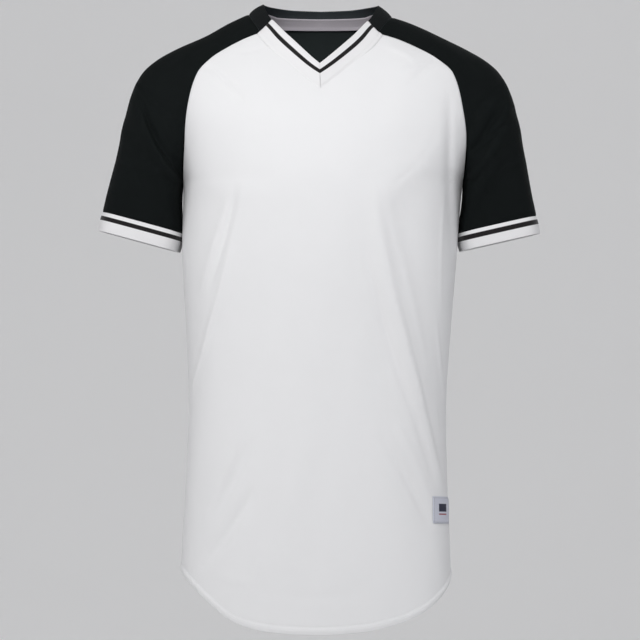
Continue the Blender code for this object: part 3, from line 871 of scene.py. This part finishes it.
for name, sleeve in SLEEVES.items():
    sleeve["sheet"], sleeve["plain"] = sleeve_sheet(name, sleeve)
    ring = sleeve["plain"][-1]
    print(f"{name} sleeve: {travelled(ring)[-1]:.3f} m round at the cuff")

# %% [markdown]
# ## Cuffs and V trim in striped rib
# Rib comes as a strip with its stripes knitted in. It is folded lengthwise and both raw edges go
# into the seam, so the free edge is a soft fold. The outer ply goes on from the sleeve's last
# ring, turns round a small radius at the fold and runs back up inside. The stripes are courses of
# the knit, so they are drawn by their distance from the fold.

# %% Cut both cuffs
CUFF_LEAN = 0.15
CUFF_PLUMP, BAND_PLUMP, TRIM_PLUMP = 0.0005, 0.0012, 0.0004  # how far each rib bows out
RIB_ROLL = 0.0005, 0.0030
FACE_ROWS = np.concatenate([[0, 0.004, 0.02, 0.05, 0.1], np.linspace(0.15, 1, 14)])


def cuff_sheet(sleeve):
    """The doubled band that goes on from the sleeve's last ring at a right angle to it."""
    ring = along(sleeve["plain"][-1], np.linspace(0, 1, 181))
    across, _, up = np.array(sleeve["outer"]) - sleeve["inner"]
    down = unit(np.array([up, CUFF_LEAN * across, -across])) * (sleeve["sign"], 1, 1)
    face = ring + down * (2 * GAP + sleeve["cuff"] * FACE_ROWS)[:, None, None]
    outward = normals(face) * -sleeve["sign"]
    face = rolled(face, -outward, "low", *RIB_ROLL)
    face = face + outward * CUFF_PLUMP * np.sin(np.pi * FACE_ROWS)[:, None, None]
    return doubled(face, outward, np.broadcast_to(down, face.shape))


for name, sleeve in SLEEVES.items():
    sleeve["rib"] = cuff_sheet(sleeve)
    print(f"{name} cuff: {travelled(sleeve['rib'][0])[-1]:.3f} m round")


def strip_lines(grid):
    """Distances along a folded strip, and from its fold: up the face, and less than 0 behind."""
    gone = travelled(grid)
    return travelled(grid[0])[None, :], gone[-len(FACE_ROWS) - 4] - gone

# %% [markdown]
# ## The neck: V trim, neckband and tape
# The V is trimmed with the same striped rib as the cuffs, in two halves that meet in a mitre at
# the point. From their ends a plain black band runs over the shoulders and round the back neck.
# It stands up, because its free edge is shorter than the seam that it is sewn to. Inside, a grey
# tape covers the raw edges of the neck seam from shoulder to shoulder.

# %% The neck seam and the band's free edge
BAND_TOP = table("""
    share x y height
    0 0.063 -0.041 -0.0092
    0.16 0.0702 -0.018 0.0055
    0.34 0.0735 0.008 0.0157
    0.55 0.062 0.038 0.016
    0.76 0.036 0.06 0.0148
    1 0 0.068 0.0142
""")
NECK_COLUMNS = 300
seam_parts = [
    SLEEVES["left"]["plain"][0], back_plain[-1][::-1], SLEEVES["right"]["plain"][0][::-1]]
neck_line = np.concatenate([part[1:-1] for part in seam_parts])
NECK_SEAM = along(neck_line, np.linspace(0, 1, NECK_COLUMNS))
to_right = np.linspace(-1, 1, NECK_COLUMNS)
BAND_EDGE = read_points(BAND_TOP, BAND_TOP["share"], 1 - np.abs(to_right))
BAND_EDGE[:, 0] *= -np.sign(to_right)
print(f"neck seam {travelled(NECK_SEAM)[-1]:.3f} m, free edge {travelled(BAND_EDGE)[-1]:.3f} m")

# %% Cut the neckband and its tape
def band_face(rows):
    """The neckband's outer ply, a little bowed, and the directions out of it and up it."""
    rise = unit(BAND_EDGE - NECK_SEAM)
    outward = unit(np.cross(unit(np.gradient(NECK_SEAM, axis=0)), rise))
    f = rows[:, None, None]
    start = NECK_SEAM + rise * GAP
    face = start + (BAND_EDGE - start) * f + outward * BAND_PLUMP * np.sin(np.pi * f)
    return face, np.broadcast_to(outward, face.shape), np.broadcast_to(rise, face.shape)


band, band_out, band_rise = band_face(FACE_ROWS)
band = rolled(drawn_in(band, "start end", GAP), -band_out, "low", *RIB_ROLL)
band_sheet = doubled(band, band_out, band_rise)

PATCH = 0.0009
TAPE_DOWN, TAPE_ENDS = 0.0060, 0.16
plies, out, _ = band_face(np.linspace(0, 0.5, 7))
level = unit((NECK_SEAM - (0, 0.01, 0)) * (0.5, 1, 0))
down = unit(np.array([0, 0, -1.0]) + level * 0.35)
low_edge = NECK_SEAM + down * TAPE_DOWN - level * (CLOTH + 0.0014)
raised = plies[::-1] - out[:7] * (RIB + GAP)
below = [raised[-1] + (low_edge - raised[-1]) * f for f in np.linspace(0, 1, 9)[1:]]
shoulder = int(NECK_COLUMNS * TAPE_ENDS)
tape_sheet = np.concatenate([raised, below])[:, shoulder:-shoulder]
print(f"neck tape {travelled(tape_sheet[6])[-1]:.3f} m long")

# %% Cut both halves of the V trim
TRIM_POINT, TRIM_END = np.array([0.0, -0.0915, -0.0656]), np.array([0.0630, -0.0410, -0.0092])
MITRE, CLEAR = 0.00002, 0.0003


def trim_sheet(side):
    """Half of the V trim, from the mitre at the centre front to the end of the neckband."""
    edge, middle = front_plain[-1], front_plain.shape[1] // 2
    f = np.concatenate([[0, 0.001], np.linspace(0.012, 0.988, 68), [0.999, 1]])[:, None]
    edge = along(edge[middle:] if side > 0 else edge[middle::-1], f[:, 0])
    bow = np.array([side * 0.6, 0.25, -0.75]) * V_BOW * 4 * f * (1 - f)
    way = np.concatenate([f, f**1.5, f], -1)
    inner = TRIM_POINT + (TRIM_END * (side, 1, 1) - TRIM_POINT) * way + bow
    rise = unit(inner - edge)
    ahead = unit(np.gradient(edge, f[:, 0], axis=0))
    outward = unit(np.cross(rise, ahead)) * side
    share = FACE_ROWS[:, None, None]
    start = edge + rise * GAP / 8
    face = start + (inner - start) * share + outward * TRIM_PLUMP * np.sin(np.pi * share)
    face[:, 0] += ahead[0] * MITRE / abs(ahead[0, 0])
    face[:, -1] -= ahead[-1] * GAP * 1.6
    outward, rise = np.broadcast_to(outward, face.shape), np.broadcast_to(rise, face.shape)
    below = face[0] - outward[0] * (CLOTH + GAP + CLEAR)
    under = [below - rise[0] * by for by in (0.006, 0.003, 0.0002, 0)]
    return np.concatenate([under, doubled(face, outward, rise)])


trims = {name: trim_sheet(sleeve["sign"]) for name, sleeve in SLEEVES.items()}
print(f"V trim: {travelled(trims['left'][0])[-1]:.3f} m along the seam of each half")

# %% [markdown]
# ## The hip label
# A woven label is sewn low on the front, by the wearer's left side seam. It takes the panel's own
# points under it, moved out by its thickness, so it follows every fold. It is plain cloth with a
# woven bar and line, as a generic size label has.

# %% Lay the label on the front
LABEL_TOP, LABEL_TALL, LABEL_HANG = -0.6101, 0.0340, 0.0032
LABEL_START, LABEL_END = 0.648, 0.90  # shares of the way from the middle to the side seam
HALF_WIDTH, EDGE_DIP, DIP_WIDE = 0.175, 0.0004, 0.0011


def laid_on_front(across, height, proud):
    """Points over the front panel, standing proud of its folded face."""
    plain = panel_point(FRONT, across, height)
    outward = normals(plain)
    face = folded(plain, outward, 1.0, (across + 1) / 2, FRONT_FOLDS, FRONT_CREASES, 1.0)
    return face + outward * proud, outward


across = np.linspace(LABEL_START, LABEL_END, 49)[None, :]
down = LABEL_TALL * np.linspace(1, 0, 41)[:, None]
edge_near = np.minimum(
    np.minimum(across - LABEL_START, LABEL_END - across) * HALF_WIDTH,
    np.minimum(LABEL_TALL - down, down))
lift = GAP + PATCH + CLEAR - EDGE_DIP * np.exp(-((edge_near / DIP_WIDE) ** 2))
hang = LABEL_HANG * (across - LABEL_START) / (LABEL_END - LABEL_START)
label_sheet, label_out = laid_on_front(across, LABEL_TOP - down - hang, lift[..., None])
print(f"label {travelled(label_sheet[0])[-1]:.4f} by {travelled(label_sheet[:, 0])[-1]:.4f} m")

# %% [markdown]
# ## Finishes
# Most of the cloth is knit, in rows of loops: wales run up it and courses across. The loops are
# under a millimetre, too small to model, so a bump driven by the grid's own distances shows them,
# and the colour stays nearly even. One small class stands for a value that flows between shader
# nodes, and plain Python signs add the nodes, which keeps the maths readable.

# %% A value that flows between shader nodes
class Flow:
    def __init__(self, tree, socket):
        self.tree, self.socket = tree, socket

    def node(self, kind, inputs=None, output=0, **settings):
        """Adds any node: its settings first, then the values or links of its sockets."""
        made = self.tree.nodes.new(kind)
        for name, value in settings.items():
            setattr(made, name, value)
        for name, value in (inputs or {}).items():
            if isinstance(value, Flow):
                self.tree.links.new(value.socket, made.inputs[name])
            else:
                made.inputs[name].default_value = value
        return Flow(self.tree, made.outputs[output])

    def maths(self, operation, *values):
        return self.node("ShaderNodeMath", dict(enumerate(values)), operation=operation)

    def __add__(self, other):
        return self.maths("ADD", self, other)

    def __mul__(self, other):
        return self.maths("MULTIPLY", self, other)

    def __sub__(self, other):
        return self.maths("SUBTRACT", self, other)

    def __rsub__(self, other):
        return self.maths("SUBTRACT", other, self)

    __radd__, __rmul__ = __add__, __mul__

    def sine(self):
        return self.maths("SINE", self)

    def size(self):
        return self.maths("ABSOLUTE", self)

    def ramp(self, low, high):
        """From 0 at low to 1 at high, with a soft start and end."""
        span = {"Value": self, "From Min": low, "From Max": high}
        return self.node("ShaderNodeMapRange", span, interpolation_type="SMOOTHSTEP")

    def between(self, low, high, soft):
        """1 from low to high and 0 outside, with soft ends."""
        return self.ramp(low - soft, low + soft) * (1 - self.ramp(high - soft, high + soft))

    def mix(self, first, second):
        """The first colour where this value is 0, the second where it is 1."""
        values = {0: self, 6: first, 7: second}
        return self.node("ShaderNodeMix", values, output=2, data_type="RGBA")

# %% Start and end a finish
def finish(name, **constants):
    """A new material, its Principled shader with constant sockets set, and a first flow."""
    made = bpy.data.materials.new(name)
    made.use_nodes = True
    shader = made.node_tree.nodes["Principled BSDF"]
    for label, value in constants.items():
        shader.inputs[label.replace("_", " ")].default_value = value
    return made, Flow(made.node_tree, None), shader


def drive(shader, **flows):
    for label, flow in flows.items():
        flow.tree.links.new(flow.socket, shader.inputs[label.replace("_", " ")])


def lines_of(flow):
    """The two distances along the cloth that every sheet carries."""
    return [flow.node("ShaderNodeAttribute", attribute_name=name, output="Fac")
            for name in ("wale", "course")]


def noise(flow, scale, detail=2.0):
    place = flow.node("ShaderNodeTexCoord", output="Object")
    return flow.node("ShaderNodeTexNoise", {"Vector": place, "Scale": scale, "Detail": detail})


def bump(flow, height, depth):
    return flow.node("ShaderNodeBump", {"Height": height, "Distance": depth, "Strength": 1.0})


def shaded(colour, by=1):
    """A colour made lighter or darker, as the four numbers of a socket."""
    return tuple(min(c * by, 1) for c in colour) + (1,)


# %% [markdown]
# ### Jersey knit
# Each stitch of plain jersey shows as a small V, so a column of stitches looks like a braid. A
# wave across the wales gives the columns. The V comes from sliding the wave of the courses up
# and down with the distance from the column's middle, as the two legs of a loop lean together.

# %% Knit for the white and the black cloth
WALE, COURSE = 0.0009, 0.0007


def knit_height(wale, course):
    column = (wale * (np.pi / WALE)).sine().size()
    legs = (course * (2 * np.pi / COURSE) + column * 2.4).sine()
    return column * 0.6 + legs * 0.25


def knit_cloth(name, colour, shade, rough, sheen, depth, gloss=0.35):
    """Plain jersey over a knit of a given depth: a base colour that varies by up to shade, at
    random and with painted shade in the knit's furrows.
    """
    made, flow, shader = finish(
        name, Sheen_Weight=sheen, Sheen_Roughness=0.45, Specular_IOR_Level=gloss)
    wale, course = lines_of(flow)
    cloudy = noise(flow, 38.0) - 0.5
    fleck = noise(flow, 900.0) - 0.5
    uneven = 0.5 + cloudy * 0.9 + fleck * 0.7
    furrow = knit_height(wale, course)
    # The furrow term darkens the colour between the knit's loops, which is painted shade. The rest
    # is the yarn's own uneven tone.
    tone_and_painted_furrow_shade = uneven * 0.8 + furrow * 0.2
    drive(shader,
          Base_Color=tone_and_painted_furrow_shade.mix(shaded(colour, 1 - shade), shaded(colour, 1 + shade)),
          Roughness=rough + cloudy * 0.08,
          Normal=bump(flow, furrow + fleck * 0.3, depth))
    return made


WHITE_KNIT = knit_cloth("white_knit", (0.82, 0.82, 0.83), 0.012, 0.78, 0.12, 0.00006)
BLACK_KNIT = knit_cloth(
    "black_knit", (0.0066, 0.0084, 0.0086), 0.15, 0.76, 0.0, 0.00009, 0.05)
# Painted light: the back panel's inner faces, seen through the neck, get a lighter black than its
# outer faces.
BLACK_KNIT_PAINTED_LIGHT_INSIDE = knit_cloth(
    "black_knit_painted_light_inside", (0.0260, 0.0325, 0.0332), 0.12, 0.80, 0.0, 0.00005, 0.05)

# %% [markdown]
# ### Striped rib
# Rib alternates wales that come forward with wales that fall back, so it shows fine upright
# ridges and stretches easily. The stripe is a band of courses in black yarn. Its edge is soft by
# about one course, because the loops of one colour hang into the next.

# %% Rib for the cuffs, the V trim and the neckband
RIB_PITCH = 0.0017
WHITE, BLACK = (0.83, 0.825, 0.835), (0.0060, 0.0045, 0.0050)


def rib_cloth(name, ground, stripe=None, behind=None, sheen=0.10, gloss=0.3):
    """Rib of one colour, with a black stripe from and to a distance from its fold. A behind colour,
    if given, is painted light on the ply behind the fold.
    """
    made, flow, shader = finish(
        name, Sheen_Weight=sheen, Sheen_Roughness=0.45, Specular_IOR_Level=gloss)
    wale, course = lines_of(flow)
    ridge = (wale * (2 * np.pi / RIB_PITCH)).sine()
    loops = (course * (2 * np.pi / COURSE) + ridge.size() * 1.5).sine()
    fleck = noise(flow, 700.0) - 0.5
    colour = (0.5 + fleck).mix(shaded(ground, 0.97), shaded(ground))
    # Painted light: the ply behind the fold takes the lighter behind colour, as if lit inside the
    # neck.
    if behind:
        colour = course.ramp(-0.0008, 0.0008).mix(shaded(behind), colour)
    if stripe:
        teeth = course.size() + loops * 0.00012
        colour = teeth.between(*stripe, 0.0003).mix(colour, shaded(BLACK))
    drive(shader, Base_Color=colour, Roughness=0.76 + fleck * 0.1,
          Normal=bump(flow, ridge + loops * 0.25 + fleck * 0.2, 0.00005))
    return made


CUFF_RIBS = {
    "right": rib_cloth("cuff_rib_right", WHITE, (0.0146, 0.0201)),
    "left": rib_cloth("cuff_rib_left", WHITE, (0.0127, 0.0190)),
}
TRIM_RIB = rib_cloth("trim_rib", WHITE, (0.0078, 0.0133))
# Painted light: the neckband's inner ply is a lighter black, (0.062, 0.072, 0.080), than its outer
# face.
BLACK_RIB = rib_cloth(
    "black_rib", (0.0070, 0.0085, 0.0092), None, (0.062, 0.072, 0.080), sheen=0.0, gloss=0.12)

# %% [markdown]
# ### Tape, label and thread
# The neck tape is woven in a fine twill, whose diagonal is one wave that runs along and across at
# once. The label is woven too, with flat satin threads across it. Its bar and line lie at set
# distances from its middle and its lower edge. Thread is polyester with a little gloss.

# %% Woven finishes and thread
def woven(name, ground, rough, twill, marks=()):
    made, flow, shader = finish(name, Specular_IOR_Level=0.4)
    wale, course = lines_of(flow)
    ridge = ((wale + course * twill) * (2 * np.pi / 0.0008)).sine()
    fleck = noise(flow, 800.0) - 0.5
    # Colour lighter on the weave's ridges and darker between them is painted shade; the flecks are
    # the yarn's own uneven tone.
    colour = (0.5 + ridge * 0.3 + fleck * 0.5).mix(shaded(ground, 0.93), shaded(ground, 1.05))
    for left, right, low, high, ink in marks:
        inside = wale.between(left, right, 0.0002) * course.between(low, high, 0.0002)
        colour = inside.mix(colour, shaded(ink))
    drive(shader, Base_Color=colour, Roughness=rough + fleck * 0.1,
          Normal=bump(flow, ridge * 0.5 + fleck * 0.5, 0.00008))
    return made


NAVY, RED = (0.016, 0.018, 0.045), (0.30, 0.05, 0.06)
TAPE_CLOTH = woven("tape_twill", (0.54, 0.505, 0.55), 0.75, 1.0)
LABEL_CLOTH = woven("label_weave", (0.60, 0.615, 0.70), 0.55, 0.0, [
    (-0.0115, 0.0085, 0.0150, 0.0250, NAVY),
    (-0.0115, 0.0085, 0.0110, 0.0126, RED),
])


def thread(name, colour):
    made, flow, shader = finish(name, Sheen_Weight=0.1, Specular_IOR_Level=0.45)
    fleck = noise(flow, 1500.0)
    drive(shader, Base_Color=fleck.mix(shaded(colour, 0.85), shaded(colour)),
          Roughness=0.45 + fleck * 0.2)
    return made


WHITE_THREAD = thread("white_thread", (0.82, 0.82, 0.83))
BLACK_THREAD = thread("black_thread", (0.012, 0.013, 0.013))
GREY_THREAD = thread("grey_thread", (0.30, 0.29, 0.31))

# %% [markdown]
# ## Sewing the jersey together
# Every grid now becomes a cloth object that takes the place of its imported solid. Solidify gives
# each its thickness towards the inside, so the face stays exactly where the grid put it.

# %% Make every piece of cloth
def cloth(name, node, grid, finish, wall=CLOTH, facing=1, inside=None):
    lines = strip_lines(grid) if wall == PLY else knit_lines(grid)
    made = piece(name, sheet_mesh(name, grid, *lines), finish, wall, facing, inside)
    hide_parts(node)
    return made


front = cloth("front_cloth", "front_panel", front_sheet, WHITE_KNIT)
# The back's inner faces take the lighter black, which is painted light.
back = cloth("back_cloth", "back_panel", back_sheet, BLACK_KNIT,
             facing=-1, inside=BLACK_KNIT_PAINTED_LIGHT_INSIDE)
for name, sleeve in SLEEVES.items():
    side = sleeve["sign"]
    sleeve["cloth"] = cloth(f"sleeve_cloth_{name}", f"sleeve_{name}", sleeve["sheet"],
                            BLACK_KNIT, facing=-side)
    sleeve["band"] = cloth(f"cuff_rib_{name}", f"cuff_{name}", sleeve["rib"],
                           CUFF_RIBS[name], PLY, -side)
    sleeve["trim"] = cloth(f"trim_rib_{name}", f"neck_trim_{name}", trims[name],
                           TRIM_RIB, PLY, side)
neckband = cloth("neckband_rib", "neckband_back", band_sheet, BLACK_RIB, PLY)
tape = cloth("tape_cloth", "neck_tape", tape_sheet, TAPE_CLOTH, PATCH, -1)
label = cloth("label_patch", "hip_label", label_sheet, LABEL_CLOTH, PATCH)

# %% Sew the rows that show
def row_above(face, outward, distance):
    """A line across a panel's face at a distance above its hem, with the directions out of it."""
    return at_depths(face[:20], [distance])[0, 2:-2], outward[8, 2:-2]


def sewn(name, rows, finish):
    made = piece(name, stitch_mesh(name, rows), finish)
    print(f"{name}: {len(made.data.vertices) // (SIDES * len(BEAD))} stitches")
    return made


front_hem = sewn("front_hem_stitches", [row_above(front_face, front_out, d) for d in HEM_ROWS],
                 WHITE_THREAD)
back_hem = sewn("back_hem_stitches", [row_above(back_face, back_out, d) for d in HEM_ROWS],
                BLACK_THREAD)
low_tape = [(tape_sheet[-2], -normals(tape_sheet)[-2])]
tape_stitches = sewn("tape_stitches", low_tape, GREY_THREAD)
EDGE_ROWS = [np.s_[2], np.s_[-3], np.s_[2:-2, 2], np.s_[2:-2, -3]]
label_stitches = sewn("label_stitches", [(label_sheet[at], label_out[at]) for at in EDGE_ROWS],
                      GREY_THREAD)

# %% [markdown]

# %% [markdown]
# ## Studio
# A jersey on a hidden form is photographed straight on, from a few metres away. The main light is
# soft and stands in front, not much higher than the neck, so it also reaches the inside of the
# back. Weaker ones at both sides round the body off, and two more light the back and the wall.
# The set is a pale floor that curves up into a wall all round.

# %% Stand the camera where the photograph was taken
PIXEL, AWAY, SENSOR = 0.00128, 3.6, 36  # a picture point and the distance, in metres
camera = placed("camera", bpy.data.cameras.new("camera"))
camera.location = (-PIXEL, -AWAY, -0.388)
camera.rotation_euler = (np.pi / 2, 0, 0)
camera.data.sensor_width = SENSOR
camera.data.lens = SENSOR * AWAY / (640 * PIXEL)
camera.data.clip_end = 60
bpy.context.scene.camera = camera

# %% The pale floor and wall, as one smooth bowl
def studio_bowl(radius=5.8, floor=-1.45, tall=5.0, corner=2.6):
    """A round floor that curves up into a wall, as rings of points."""
    turn = np.linspace(0, np.pi / 2, 20)
    bend = radius - corner + corner * np.sin(turn)
    out = np.concatenate([[0.001, 1.5, 3.0], bend, [radius, radius]])[:, None]
    rise = corner - corner * np.cos(turn)
    up = np.concatenate([[0, 0, 0], rise, [tall * 0.8, tall]])[:, None] + floor
    angle = np.linspace(0, 2 * np.pi, 97)
    grid = np.stack([out * np.cos(angle), out * np.sin(angle), up + 0 * angle], -1)
    return sheet_mesh("studio", grid, 0.0, 0.0)


paint, flow, shader = finish("studio_paint", Specular_IOR_Level=0.1)
mottle = noise(flow, 0.8)
drive(shader, Base_Color=mottle.mix((0.87, 0.87, 0.875, 1), (0.90, 0.90, 0.905, 1)),
      Roughness=0.9 + mottle * 0.05)
studio = placed("studio", studio_bowl())
studio.data.materials.append(paint)
studio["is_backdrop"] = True

# %% Soft lights
LIGHTS = table("""
    x y z aim_x aim_y aim_z wide tall watts red blue
    -0.32 -2 0.82 0 0 -0.12 1.5 0.7 34 1 1
    3.3 -0.9 0.4 0.05 0 -0.3 1.4 2.4 13 0.98 1.04
    -3.3 -0.7 0.4 -0.05 0 -0.3 1.4 2.4 11 1 1
    0.6 2.8 1.2 0 0 -0.2 2.2 1.6 10 1 1
    0 1.6 1.5 0 5.5 0.1 2.4 1 34 1 1
""")
for i, (x, y, z, ax, ay, az, wide, tall, watts, red, blue) in enumerate(zip(*LIGHTS.values())):
    lamp = bpy.data.lights.new(f"soft_light_{i}", "AREA")
    lamp.shape, lamp.size, lamp.size_y, lamp.energy = "RECTANGLE", wide, tall, watts
    lamp.color = (red, 1.0, blue)
    light = placed(lamp.name, lamp)
    light.location = (x, y, z)
    east, north, up = unit(np.array([x - ax, y - ay, z - az]))
    light.rotation_euler = (np.arccos(up), 0, np.arctan2(north, east) + np.pi / 2)

world = bpy.data.worlds.new("studio_air")
world.use_nodes = True
air = world.node_tree.nodes["Background"].inputs
air["Color"].default_value, air["Strength"].default_value = (1.0, 1.0, 1.01, 1), 0.30
bpy.context.scene.world = world
bpy.context.scene.view_settings.view_transform = "Standard"

# %% Keep the sizes and finish
sizes = {"solids_box": solids_box, "looks_box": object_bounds()}
sizes = {name: [[float(v) for v in corner] for corner in box] for name, box in sizes.items()}
print("sizes:", sizes)
